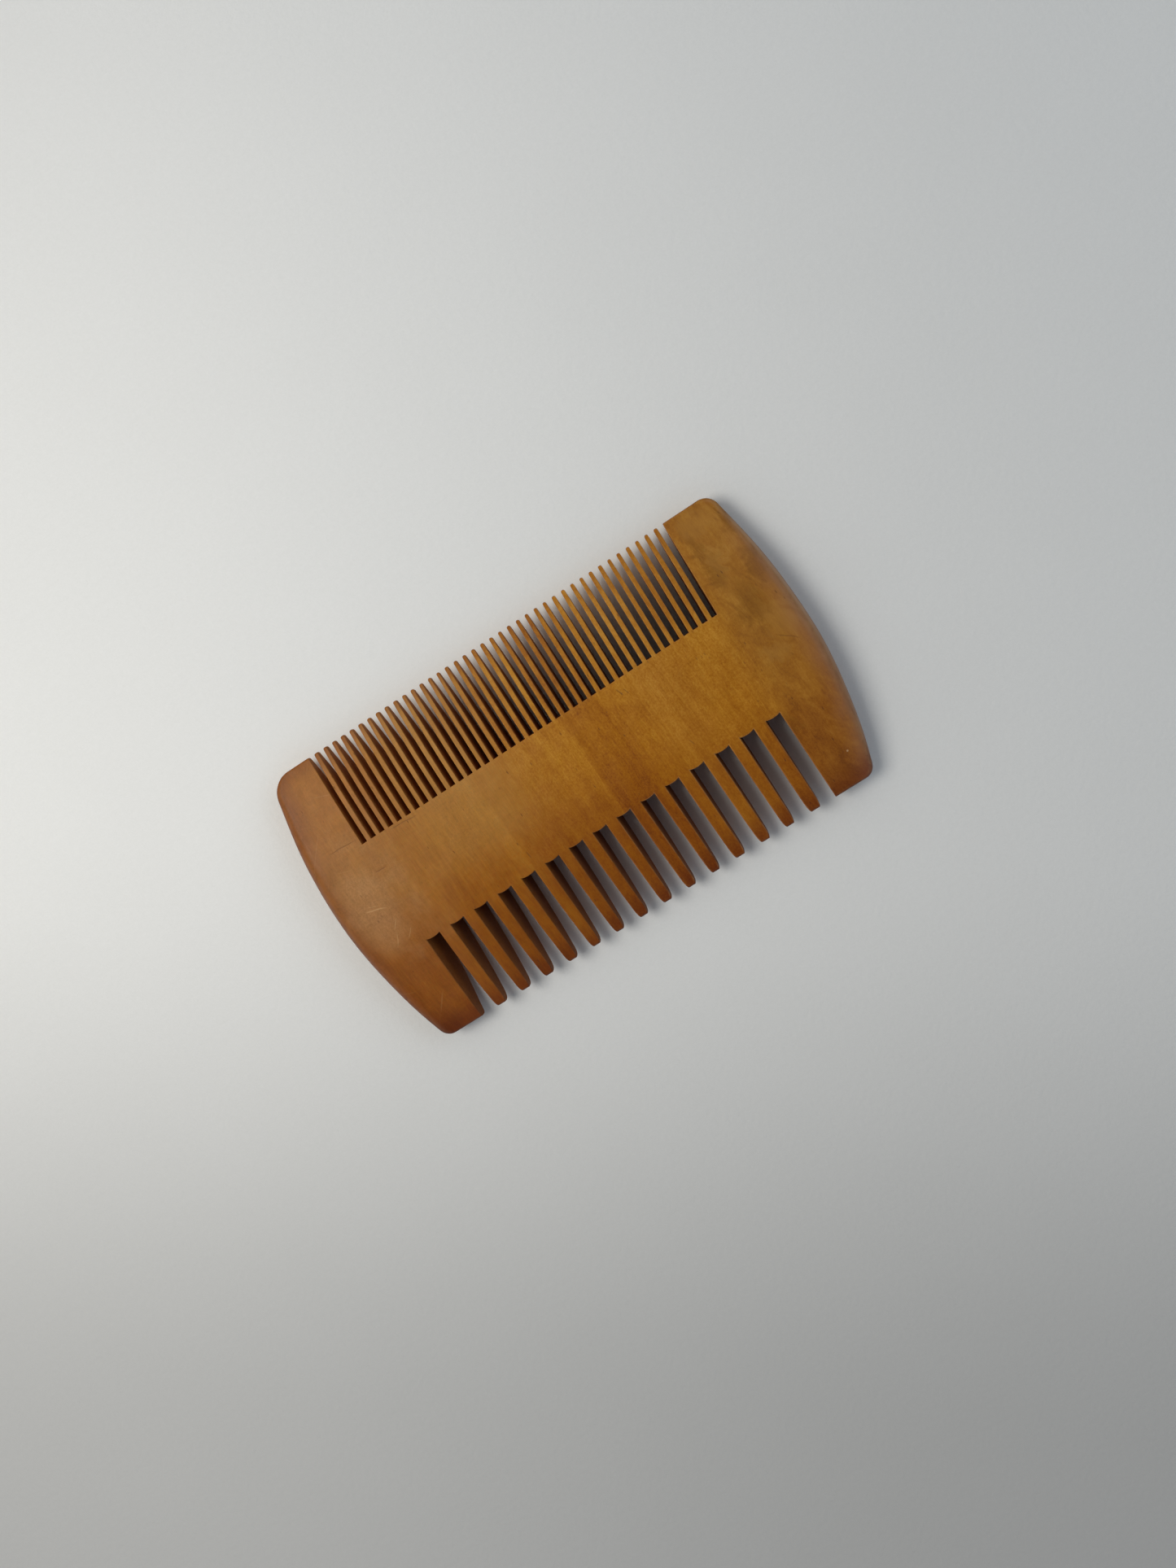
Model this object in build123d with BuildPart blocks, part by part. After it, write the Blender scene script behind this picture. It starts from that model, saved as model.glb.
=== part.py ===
from build123d import *
import os

# Double-sided wooden beard comb, sawn from one board.
# Frame: the comb lies flat. +X runs along its length, +Y points to the fine
# teeth, +Z is up through its thickness. The origin is on the underside, at the
# middle of the flat land.

# ---- driving dimensions, millimetres ----
length = 100.0            # over the two bowed ends
width = 56.4              # fine tooth tips to coarse tooth tips
thickness = 6.6           # at the spine
half_width = width / 2
mid_z = thickness / 2     # height of the mid-plane, and half the thickness

# cross-section
land_half = 4.0           # half width of the flat land on each face
fine_tip_thickness = 1.0  # before the nose is rounded
coarse_tip_thickness = 1.6
fine_nose = 0.42          # rounding of the tooth tips, seen from the end
coarse_nose = 0.60
crown_steps = 6           # spans between the points of each crown curve

# slots
slot_root = 10.1          # centre line to the slot bottoms, on both sides
slot_depth = half_width - slot_root
field_shift = -0.4        # the toothed field sits this far off centre in X

fine_slots = 40           # 40 slots leave 39 fine teeth
fine_pitch = 1.875
fine_slot = 1.07          # width of the parallel part
fine_tip_slot = 1.27      # slot width at the tooth tips
fine_taper = 4.0          # length over which a fine tooth narrows
fine_corner = 0.18        # corner radius of a fine tooth tip

coarse_slots = 15         # 15 slots leave 14 coarse teeth
coarse_pitch = 5.09
coarse_slot = 2.80
coarse_tip_slot = 3.10
coarse_taper = 8.0
coarse_corner = 0.40
coarse_bulge = 0.25       # the slot bottom bulges this far into the slot

# outline
rim_band = 0.65           # half height of the upright band round the outline
rim_bevel = 1.75          # how far the bevels above and below it reach in
fine_side_corner = 3.2    # corner radius of the guards on the fine side
coarse_side_corner = 2.2  # corner radius of the guards on the coarse side

# One bowed end, from the fine side to the coarse side: (half length X, Y)
end_points = [
    (46.55, half_width), (46.95, 26.0), (47.45, 23.5), (48.15, 20.0), (48.85, 16.0),
    (49.37, 12.0), (49.70, 8.0), (49.92, 4.0), (50.0, 0.5), (49.92, -3.5),
    (49.55, -8.0), (49.02, -12.0), (48.37, -16.0), (47.58, -20.0),
    (46.85, -23.0), (46.15, -25.5), (45.35, -half_width),
]

# how far the working solids run past the wood
outline_margin = 0.1      # outline tool, above and below the faces
cut_margin = 1.0          # board past each end, slots past the tips and faces

os.makedirs("parts", exist_ok=True)


def crown(y):
    """Height of the top face above the mid-plane at y."""
    tip = fine_tip_thickness if y > 0 else coarse_tip_thickness
    fall = (mid_z - tip / 2) / (half_width - land_half) ** 2
    return mid_z - fall * max(0.0, abs(y) - land_half) ** 2


def crown_points(y_sign, z_sign):
    """(Y, Z) points of one crowned quarter of the section, from land to tip."""
    points = []
    for i in range(crown_steps + 1):
        y = y_sign * (land_half + (half_width - land_half) * i / crown_steps)
        points.append((y, mid_z + z_sign * crown(y)))
    return points


def slot_sketch(slot, tip_slot, taper, corner, bulge=0.0):
    """One slot, from its bottom at Y = 0 to past its mouth.

    The parallel kerf eases open over the taper, then flares round the
    corners of the tooth tips.
    """
    half_slot = slot / 2
    half_tip = tip_slot / 2
    half_mouth = half_tip + corner
    corner_y = slot_depth - corner
    with BuildSketch(Plane.XY, mode=Mode.PRIVATE) as shape:
        with BuildLine():
            if bulge:
                # a shallow arc: deepest in its two corners
                ThreePointArc((-half_slot, 0), (0, bulge), (half_slot, 0))
            else:
                Line((-half_slot, 0), (half_slot, 0))
            Polyline((half_slot, 0), (half_slot, slot_depth - taper), (half_tip, corner_y))
            RadiusArc((half_tip, corner_y), (half_mouth, slot_depth), corner)
            Polyline(
                (half_mouth, slot_depth),
                (half_mouth, slot_depth + cut_margin),
                (-half_mouth, slot_depth + cut_margin),
                (-half_mouth, slot_depth),
            )
            RadiusArc((-half_mouth, slot_depth), (-half_tip, corner_y), corner)
            Polyline((-half_tip, corner_y), (-half_slot, slot_depth - taper), (-half_slot, 0))
        make_face()
    return shape.sketch


# ---- outline of the comb, as a solid that trims the board ----
tool_half_height = mid_z + outline_margin
with BuildPart() as outline_tool:
    with BuildSketch(Plane.XY.offset(mid_z)) as outline:
        with BuildLine():
            Spline(end_points)
            Spline([(-x, y) for x, y in end_points])
            for x, y in (end_points[0], end_points[-1]):
                Line((-x, y), (x, y))
        make_face()
        fillet(outline.vertices().group_by(Axis.Y)[-1], fine_side_corner)
        fillet(outline.vertices().group_by(Axis.Y)[0], coarse_side_corner)
    extrude(amount=tool_half_height, both=True)
    # bevels that ease the end guards into the two faces
    tool_faces = outline_tool.faces().sort_by(Axis.Z)
    for face in (tool_faces[-1], tool_faces[0]):
        chamfer(face.edges(), rim_bevel, tool_half_height - rim_band, reference=face)

# ---- slots: (shape, location of the row, pitch, count) ----
slot_rows = [
    (
        slot_sketch(fine_slot, fine_tip_slot, fine_taper, fine_corner),
        Location((field_shift, slot_root, 0)),
        fine_pitch,
        fine_slots,
    ),
    (
        slot_sketch(coarse_slot, coarse_tip_slot, coarse_taper, coarse_corner, coarse_bulge),
        Location((field_shift, -slot_root, 0), (0, 0, 180)),
        coarse_pitch,
        coarse_slots,
    ),
]

# ---- the comb ----
with BuildPart() as comb_body:
    # lens-shaped board: flat land in the middle of each face, crowned to the tips
    with BuildSketch(Plane.YZ) as lens:
        with BuildLine():
            Line((-land_half, thickness), (land_half, thickness))
            Spline(crown_points(1, 1))
            Line(
                (half_width, mid_z + fine_tip_thickness / 2),
                (half_width, mid_z - fine_tip_thickness / 2),
            )
            Spline(crown_points(1, -1)[::-1])
            Line((land_half, 0), (-land_half, 0))
            Spline(crown_points(-1, -1))
            Line(
                (-half_width, mid_z - coarse_tip_thickness / 2),
                (-half_width, mid_z + coarse_tip_thickness / 2),
            )
            Spline(crown_points(-1, 1)[::-1])
        make_face()
        # the sketch's own X axis is the comb's Y
        fillet(lens.vertices().group_by(Axis.X)[-1], fine_nose)
        fillet(lens.vertices().group_by(Axis.X)[0], coarse_nose)
    extrude(amount=length / 2 + cut_margin, both=True)
    add(outline_tool.part, mode=Mode.INTERSECT)

    # fine slots first, then the coarse ones from the other long side
    for slot_shape, row_location, pitch, count in slot_rows:
        with BuildSketch(Plane.XY.offset(-cut_margin)):
            with Locations(row_location):
                with GridLocations(pitch, 1, count, 1):
                    add(slot_shape)
        extrude(amount=thickness + 2 * cut_margin, mode=Mode.SUBTRACT)

comb_body.part.label = "comb_body"
export_step(comb_body.part, "parts/comb_body.step")
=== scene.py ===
# Beard comb: a flat wooden comb with fine teeth along one edge and coarse teeth along the other.
# The scene is in metres. The comb lies flat on Z = 0, +X along its length, +Y towards the fine
# teeth. The comb's mesh and the textures are worked out in millimetres.
import bpy
import functools
import math
import numpy as np
from mathutils import Matrix, Vector
from mathutils.geometry import delaunay_2d_cdt


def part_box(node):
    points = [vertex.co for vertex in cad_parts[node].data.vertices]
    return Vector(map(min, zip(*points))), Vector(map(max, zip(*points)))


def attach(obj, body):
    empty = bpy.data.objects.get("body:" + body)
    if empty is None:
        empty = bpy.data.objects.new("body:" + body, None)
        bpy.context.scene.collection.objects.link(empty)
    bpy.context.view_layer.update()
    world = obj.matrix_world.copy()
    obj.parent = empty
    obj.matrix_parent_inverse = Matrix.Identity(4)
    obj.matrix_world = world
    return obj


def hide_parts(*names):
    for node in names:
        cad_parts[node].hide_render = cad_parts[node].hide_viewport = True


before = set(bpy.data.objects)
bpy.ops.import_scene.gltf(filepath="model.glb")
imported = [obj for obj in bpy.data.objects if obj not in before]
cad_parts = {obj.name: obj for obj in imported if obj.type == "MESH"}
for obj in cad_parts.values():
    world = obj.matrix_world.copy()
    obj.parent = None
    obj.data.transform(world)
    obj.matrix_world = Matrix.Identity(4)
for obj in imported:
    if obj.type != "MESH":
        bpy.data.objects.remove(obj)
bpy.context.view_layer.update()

MM = 0.001

# ------------------------------------------------------------------ sizes (mm)
BOX_LO, BOX_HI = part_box("comb_body")
HALF_W = (BOX_HI.y - BOX_LO.y) / MM / 2      # half the width over the tooth tips
HALF_T = (BOX_HI.z - BOX_LO.z) / MM / 2      # half the thickness at the spine
MID_Z = (BOX_HI.z + BOX_LO.z) / MM / 2
LAND = 4.0                                   # half width of the flat land
TIP_FINE = 0.5                               # half thickness at the fine tooth tips
TIP_COARSE = 0.8                             # the coarse teeth are left blunter
ROOT = 10.1                                  # |Y| of the fine slot bottoms
FACE_WAVE = 0.014                            # height of the waviness in the faces

# Slot centres at the slot bottoms. They were indexed by hand, so the pitch wanders.
FINE_X = [
    -37.03, -35.09, -33.20, -31.31, -29.43, -27.50, -25.57, -23.70, -21.80, -19.91,
    -18.00, -16.15, -14.31, -12.45, -10.64, -8.85, -7.00, -5.16, -3.28, -1.39,
    0.49, 2.36, 4.21, 6.06, 7.90, 9.73, 11.58, 13.46, 15.36, 17.27,
    19.16, 21.05, 22.93, 24.84, 26.73, 28.62, 30.50, 32.38, 34.27, 36.19,
]
COARSE_X = [
    -36.23, -31.00, -25.84, -20.70, -15.59, -10.50, -5.48, -0.46, 4.60, 9.64,
    14.68, 19.84, 25.02, 30.12, 35.38,
]
# slot: width at the bottom; corner: width and height of the rounding at the mouth;
# edge: rounding where wall meets face; bulge: rise of the bottom into the slot;
# power: how late the flanks open; bottom_steps: segments across the bottom
FINE = dict(slot=1.07, corner=(0.26, 0.34), edge=0.085, bulge=0.0, power=7.0, bottom_steps=6)
COARSE = dict(slot=2.80, corner=(0.46, 2.3), edge=0.20, bulge=0.25, power=1.7, bottom_steps=12)
SQUARE_CORNER = (0.14, 0.14)                 # the mouth corners on the guards

SIDE = [  # (half length of the outline, Y)
    (46.55, 28.2), (46.95, 26.0), (47.45, 23.5), (48.15, 20.0), (48.85, 16.0),
    (49.37, 12.0), (49.70, 8.0), (49.92, 4.0), (50.0, 0.5), (49.92, -3.5),
    (49.55, -8.0), (49.02, -12.0), (48.37, -16.0), (47.58, -20.0),
    (46.85, -23.0), (46.15, -25.5), (45.35, -28.2),
]
CORNERS = {"right": (2.8, 2.4), "left": (4.7, 2.5)}   # radii: fine side, coarse side
END_STEP = 0.5                               # spacing of outline points round the ends
FLAT_STEP = 0.45                             # spacing along the guards' flats
GRID_STEP = 1.15                             # spacing of the points that fill the faces
EDGE_RINGS = 9                               # rings from the side wall over to the face
WALL_STEPS = 4                               # rows of faces down the side wall
RIM, FINE_SIDE, COARSE_SIDE = 0, 1, 2        # tags of the outline points


def smooth(t):
    t = np.clip(t, 0.0, 1.0)
    return t * t * (3 - 2 * t)


def half_thickness(y):
    """Half thickness of the board at Y: a flat land, then a crown down to the tips."""
    tip = np.where(np.asarray(y) > 0, TIP_FINE, TIP_COARSE)
    crown = (HALF_T - tip) / (HALF_W - LAND) ** 2
    return HALF_T - crown * np.maximum(0.0, np.abs(y) - LAND) ** 2


def face_wave(x, y):
    """The faint waviness that hand sanding leaves in the face."""
    wave = (
        np.sin(x * 0.21 + 0.6 * np.sin(y * 0.13)) * np.cos(y * 0.17 + 0.4)
        + 0.6 * np.sin(x * 0.083 - y * 0.11 + 1.3)
        + 0.35 * np.sin(x * 0.37 + y * 0.29 + 2.1)
    )
    off_land = smooth((np.abs(y) - LAND * 0.2) / 6.0)
    return FACE_WAVE * wave * (0.35 + 0.65 * off_land) - FACE_WAVE


def face_height(points):
    x, y = points.T
    return half_thickness(y) + face_wave(x, y)


def kerf_slant(x, y):
    """Shift along X per mm below the face: the saw cuts are a few degrees off square, the
    coarse ones most, and most of all the leftmost."""
    on_coarse = smooth((-y - ROOT + 0.9) / 0.6)
    on_fine = smooth((y - ROOT + 0.9) / 0.6)
    fine = on_fine * 0.085 * smooth(-x / 30)
    coarse = 0.075 + 0.085 * smooth((-12 - x) / 16) + 0.13 * smooth((-36.0 - x) / 1.6)
    return (on_coarse * coarse + fine) * smooth((44.2 - np.abs(x)) / 4.0)


# ------------------------------------------------------------------ outline
def side_curve():
    """Catmull-Rom curve through SIDE at the right end, from the coarse side to the fine side."""
    knots = np.array(SIDE[::-1], float)
    knots = np.vstack([2 * knots[0] - knots[1], knots, 2 * knots[-1] - knots[-2]])
    curve = []
    for i in range(1, len(knots) - 2):
        a, b, c, d = knots[i - 1:i + 3]
        for t in np.linspace(0, 1, 12, endpoint=False):
            curve.append(
                0.5 * (2 * b + (c - a) * t + (2 * a - 5 * b + 4 * c - d) * t * t
                       + (3 * b - a - 3 * c + d) * t ** 3)
            )
    curve.append(knots[-2])
    return np.array(curve)


def path_lengths(path):
    steps = np.linalg.norm(np.diff(path, axis=0), axis=1)
    return np.concatenate([[0], np.cumsum(steps)])


def round_corner(path, radius):
    """Ends a rising path in an arc that meets the line Y = HALF_W heading towards -X."""
    lengths = path_lengths(path)
    total = lengths[-1]

    def point_at(length):
        return np.array([np.interp(length, lengths, path[:, k]) for k in (0, 1)])

    def circle(back):
        """Centre and touching point of the circle that leaves the path this far from its end."""
        touch = point_at(total - back)
        before = point_at(total - back - 0.05)
        heading = (touch - before) / np.linalg.norm(touch - before)
        return touch + np.array([-heading[1], heading[0]]) * radius, touch

    def miss(back):
        return abs(abs(HALF_W - circle(back)[0][1]) - radius)

    back = min(np.linspace(0.3, 3 * radius, 400), key=miss)
    centre, touch = circle(back)
    start = math.atan2(*(touch - centre)[::-1])
    arc = [centre + radius * np.array([math.cos(t), math.sin(t)])
           for t in np.linspace(start, math.pi / 2, 14)]
    return np.vstack([path[lengths < total - back], arc])


def resample(path, step):
    lengths = path_lengths(path)
    count = int(round(lengths[-1] / step))
    t = np.linspace(0, lengths[-1], count + 1)
    return np.stack([np.interp(t, lengths, path[:, k]) for k in (0, 1)], 1)


def end_outline(fine_radius, coarse_radius):
    """One end, drawn at +X, from the coarse edge's flat, round the bow, to the fine edge's flat."""
    flip = np.array([1, -1])
    path = round_corner(side_curve(), fine_radius)
    path = round_corner(path[::-1] * flip, coarse_radius)
    return resample(path[::-1] * flip, END_STEP)


def slot_path(spec, depth, lean, sway, tapers, square):
    """One slot, from the right side of its mouth, down to its bottom and up to the left side.
    u runs across the slot, v from the bottom (0) to the mouth (depth). tapers are how much the
    right and left flanks open towards the mouth; square marks the almost sharp mouth corners."""
    half = spec["slot"] / 2
    power = spec["power"]

    def flank(taper, is_square):
        width, height = SQUARE_CORNER if is_square else spec["corner"]
        mouth = half + taper * ((depth - height) / depth) ** power
        corner = [(mouth + width * (1 - math.sin(a)), depth - height + height * math.cos(a))
                  for a in np.linspace(0, math.pi / 2, 7)]
        levels = [depth - height - d for d in (0.12, 0.28, 0.5, 0.8, 1.2, 1.7, 2.4)]
        levels += list(np.linspace(depth - height - 3.2, 0.9, 18)) + [0.5, 0.22, 0.07]
        return corner + [(half + taper * (v / depth) ** power, v) for v in levels]

    right = flank(tapers[0], square[0])
    left = [(-u, v) for u, v in flank(tapers[1], square[1])[::-1]]
    across = np.cos(np.linspace(0, math.pi, spec["bottom_steps"] + 1)) * half
    bottom = [(u, spec["bulge"] * (1 - (u / half) ** 2) ** 0.8) for u in across]
    points = np.array(right + bottom + left, float)
    rise = points[:, 1] / depth
    points[:, 0] += lean * rise + sway * np.sin(rise * 2.6) * 0.5
    return points


def fine_slots(rng):
    """The fine slots, right to left."""
    slots = []
    for x in FINE_X[::-1]:
        lean = 0.42 * smooth((x + 12) / 52) + rng.normal(0, 0.02)
        tapers = 0.10 + rng.normal(0, 0.012, 2)
        sway = rng.normal(0, 0.02)
        slot = slot_path(FINE, HALF_W - ROOT, lean, sway, tapers, (x == FINE_X[-1], False))
        slots.append(slot + (x, ROOT))
    return slots


def coarse_slots(rng):
    """The coarse slots, left to right. They stop a little short on the right."""
    slots = []
    for x in COARSE_X:
        first, last = x == COARSE_X[0], x == COARSE_X[-1]
        lean = 0.24 + 0.0052 * (x + 33) + rng.normal(0, 0.03)
        # a slot's right flank is the left flank of the next tooth, which is the one pared most
        taper_right = max(0.05, 0.30 - 0.0042 * (x + 33)) + rng.normal(0, 0.02)
        taper_left = 0.09 + rng.normal(0, 0.02)
        sway = rng.normal(0, 0.03)
        if first:
            lean, taper_left, taper_right = 0.10, 0.16, 0.42
        if last:
            taper_right = 0.0
        root = ROOT + 0.10 - 0.0088 * x
        slot = slot_path(COARSE, HALF_W - root, lean, sway, (taper_right, taper_left),
                         (last, first))
        slot[:, 1] = -(slot[:, 1] + root)
        # mirrored in Y, so reversed to keep the heading
        slots.append(slot[::-1] + (x, 0))
    return slots


def guard_flat(start, end):
    """Points between start and end, both left out."""
    count = int(abs(start[0] - end[0]) / FLAT_STEP)
    return np.linspace(start, end, count + 1)[1:-1]


def toothed_edge(slots, start, end, edge_y, tag, tip_points):
    """The outline from one end of the comb to the other, as (points, tag) pieces."""
    pieces = [(guard_flat(start, slots[0][0]), RIM), (slots[0], tag)]
    for before, slot in zip(slots, slots[1:]):
        tip = np.linspace([before[-1, 0], edge_y], slot[0], tip_points)[1:-1]
        pieces += [(tip, tag), (slot, tag)]
    return pieces + [(guard_flat([slots[-1][-1, 0], edge_y], end), RIM)]


def boundary():
    """The whole outline, anticlockwise, with a tag for each point."""
    rng = np.random.default_rng(7)
    right = end_outline(*CORNERS["right"])
    left = end_outline(*CORNERS["left"])[::-1] * np.array([-1, 1])
    # the left end sits a trace further in towards its fine-side corner
    left[:, 0] += 0.45 * smooth((left[:, 1] - 2) / 26.0)
    pieces = [(right, RIM)]
    pieces += toothed_edge(fine_slots(rng), right[-1], left[0], HALF_W, FINE_SIDE, 3)
    pieces += [(left, RIM)]
    pieces += toothed_edge(coarse_slots(rng), left[-1], right[0], -HALF_W, COARSE_SIDE, 6)
    points = np.vstack([piece for piece, _ in pieces])
    tags = np.concatenate([np.full(len(piece), tag) for piece, tag in pieces])
    keep = np.linalg.norm(points - np.roll(points, 1, axis=0), axis=1) > 0.012
    return points[keep], tags[keep]


# ------------------------------------------------------------------ comb mesh
def outward_normals(outline):
    """Unit outward normals in plan, and how much longer a mitred offset is at each corner."""
    back = outline - np.roll(outline, 1, axis=0)
    ahead = np.roll(outline, -1, axis=0) - outline
    back /= np.linalg.norm(back, axis=1)[:, None]
    ahead /= np.linalg.norm(ahead, axis=1)[:, None]
    # right of travel is outward
    back_out = np.stack([back[:, 1], -back[:, 0]], 1)
    ahead_out = np.stack([ahead[:, 1], -ahead[:, 0]], 1)
    outward = back_out + ahead_out
    length = np.linalg.norm(outward, axis=1)
    length[length < 1e-6] = 1
    outward /= length[:, None]
    return outward, 1 / np.clip((outward * back_out).sum(1), 0.55, 1)


def edge_rings(outline, tags):
    """Rings of points from the side wall over the rounded edge to the face, as heights above
    the middle plane, and how much each point of them lies on a turned-over edge."""
    outward, mitre = outward_normals(outline)
    x, y = outline.T
    tip_depth = HALF_W - np.abs(y)           # distance in from the line of the tips
    height = half_thickness(y)
    # how far the rounding reaches in and down
    reach = np.where(tags == COARSE_SIDE, COARSE["edge"], FINE["edge"])
    nose = np.where(y > 0, 0.46, 0.64)       # reach of the rounded nose at the tips
    nose_rise = np.sqrt(np.maximum(0, 1 - (1 - np.clip(tip_depth / nose, 0, 1)) ** 2))
    drop = height - (height - reach) * (0.06 + 0.94 * nose_rise)
    # the rim of the ends is a full round sized by the thickness: broad at left, crisper at right
    on_bow = np.where(tags == RIM, smooth((np.abs(x) - 41.5) / 3.5), 0.0)
    bow_reach = np.where(x < 0, 0.66 * height + 0.80, 0.50 * height + 0.72)
    reach = reach * (1 - on_bow) + bow_reach * on_bow
    drop = drop * (1 - on_bow) + 0.90 * height * on_bow
    # from the outline to the inner end of the rounding
    tipness = np.clip(1 - tip_depth / (3.2 * nose), 0, 1) * (1 - on_bow)
    inset = -outward * reach[:, None] * mitre[:, None]
    inset[:, 1] *= 1 - np.where(tip_depth < 3.2 * nose, 1, 0) * (1 - on_bow)
    inset[:, 1] -= np.sign(y) * nose * tipness

    inner_height = face_height(outline + inset)
    rings = []
    for angle in np.linspace(0, math.pi / 2, EDGE_RINGS):
        plan = outline + inset * (1 - math.cos(angle))
        rings.append(np.column_stack([plan, (inner_height - drop) + drop * math.sin(angle)]))
    arris = []
    for i in range(EDGE_RINGS):
        t = i / (EDGE_RINGS - 1)
        slot_edge = math.sin(math.pi * t) ** 0.6 if 0 < t < 1 else 0.0
        bow_edge = math.exp(-((t - 0.60) / 0.16) ** 2)
        arris.append(slot_edge * (1 - on_bow) + bow_edge * on_bow)
    return rings, np.concatenate(arris)


def inside(points, ring):
    """Even-odd test of points against a closed ring."""
    x, y = points.T
    odd = np.zeros(len(points), bool)
    for (x0, y0), (x1, y1) in zip(ring, np.roll(ring, -1, axis=0)):
        crosses = (y0 > y) != (y1 > y)
        if crosses.any():
            odd ^= crosses & (x < x0 + (y - y0) * (x1 - x0) / (y1 - y0))
    return odd


def fill_points(ring):
    """Staggered rows of points over the solid areas, none inside the teeth."""
    columns, rows = np.meshgrid(np.arange(-49, 49.1, GRID_STEP), np.arange(-27.6, 27.7, GRID_STEP))
    grid = np.column_stack([columns.ravel(), rows.ravel()])
    grid[:, 0] += 0.5 * GRID_STEP * (np.round((grid[:, 1] + 27.6) / GRID_STEP) % 2)
    spine = np.abs(grid[:, 1]) < ROOT - 0.65
    grid = grid[spine | (grid[:, 0] < FINE_X[0] - 1.2) | (grid[:, 0] > FINE_X[-1] + 1.2)]
    grid = grid[inside(grid, ring)]
    distance = np.min(np.linalg.norm(grid[:, None, :] - ring[None], axis=2), axis=1)
    return grid[distance > 0.45]


def triangulate(ring):
    """Fills the ring. Returns the points, the ring index of each (-1 inside) and the faces."""
    count = len(ring)
    points, _, faces, origins, _, _ = delaunay_2d_cdt(
        [Vector((float(p[0]), float(p[1]))) for p in np.vstack([ring, fill_points(ring)])],
        [], [list(range(count))], 1, 1e-7,
    )
    on_ring = np.array([next((j for j in ids if j < count), -1) for ids in origins])
    if sorted(on_ring[on_ring >= 0]) != list(range(count)):
        raise RuntimeError("outline points merged in the fill")
    return np.array([[p.x, p.y] for p in points]), on_ring, faces


def area_normals(verts, face_groups):
    """Area-weighted normals, so that wide faces stay flat and edges stay crisp."""
    normals = np.zeros_like(verts)
    for index in face_groups:
        p = verts[index]
        if index.shape[1] == 3:
            face = np.cross(p[:, 1] - p[:, 0], p[:, 2] - p[:, 0])
        else:
            face = np.cross(p[:, 2] - p[:, 0], p[:, 3] - p[:, 1])
        for corner in range(index.shape[1]):
            np.add.at(normals, index[:, corner], face)
    return normals / np.maximum(np.linalg.norm(normals, axis=1), 1e-20)[:, None]


def build_comb():
    outline, tags = boundary()
    count = len(outline)
    rings, arris = edge_rings(outline, tags)
    fill, on_ring, fill_faces = triangulate(rings[-1][:, :2])

    # the top sheet and its mirror image below
    extra = fill[on_ring < 0]
    top = np.vstack(rings + [np.column_stack([extra, face_height(extra)])])
    top[:, 2] = MID_Z + top[:, 2]
    bottom = top.copy()
    bottom[:, 2] = 2 * MID_Z - bottom[:, 2]
    top_count = len(top)
    around = np.arange(count)
    following = (around + 1) % count
    quads = []
    for ring in range(EDGE_RINGS - 1):
        low, high = ring * count, (ring + 1) * count
        band = np.column_stack([low + around, low + following, high + following, high + around])
        quads += [band, (band + top_count)[:, ::-1]]
    index = np.zeros(len(fill), int)
    index[on_ring >= 0] = (EDGE_RINGS - 1) * count + on_ring[on_ring >= 0]
    index[on_ring < 0] = EDGE_RINGS * count + np.arange(len(extra))
    tris = np.array([[index[k] for k in face] for face in fill_faces if len(face) == 3], int)
    p = top[tris]
    facing = np.cross(p[:, 1] - p[:, 0], p[:, 2] - p[:, 0])[:, 2]
    tris[facing < 0] = tris[facing < 0][:, ::-1]
    tris = np.vstack([tris, tris[:, ::-1] + top_count])

    # the side wall between the two first rings
    sheets = [top, bottom]
    rows = [around]
    for k in range(1, WALL_STEPS):
        t = k / WALL_STEPS
        z = top[:count, 2] * (1 - t) + bottom[:count, 2] * t
        sheets.append(np.column_stack([top[:count, :2], z]))
        rows.append(2 * top_count + (k - 1) * count + around)
    rows.append(top_count + around)
    for upper, lower in zip(rows, rows[1:]):
        quads.append(np.column_stack([lower, np.roll(lower, -1), np.roll(upper, -1), upper]))
    quads = np.vstack(quads)

    verts = np.vstack(sheets)
    # the slanted kerf: points below the face shift along X, the face itself stays put
    face = MID_Z + half_thickness(verts[:, 1])
    verts[:, 0] += kerf_slant(verts[:, 0], verts[:, 1]) * (face - verts[:, 2])
    verts *= MM

    mesh = bpy.data.meshes.new("comb_wood")
    mesh.from_pydata(verts.tolist(), [], quads.tolist() + tris.tolist())
    mesh.validate(clean_customdata=False)
    mesh.update()
    mesh.polygons.foreach_set("use_smooth", np.ones(len(mesh.polygons), bool))
    # the turned-over edges, for the wood's paler edges: rubbed finish and a painted highlight
    wear = np.zeros(len(verts), np.float32)
    for start in (0, top_count):
        wear[start:start + len(arris)] = arris
    mesh.attributes.new("arris", "FLOAT", "POINT").data.foreach_set("value", wear)
    mesh.normals_split_custom_set_from_vertices(area_normals(verts, (quads, tris)).tolist())
    mesh.update()
    ob = bpy.data.objects.new("comb_wood", mesh)
    bpy.context.scene.collection.objects.link(ob)
    return ob


comb = build_comb()


# ------------------------------------------------------------------ shader nodes
def srgb(*channels):
    """sRGB 0-255 to a linear colour."""
    out = []
    for v in channels:
        v /= 255
        out.append(v / 12.92 if v <= 0.04045 else ((v + 0.055) / 1.055) ** 2.4)
    return (*out, 1.0)


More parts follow.
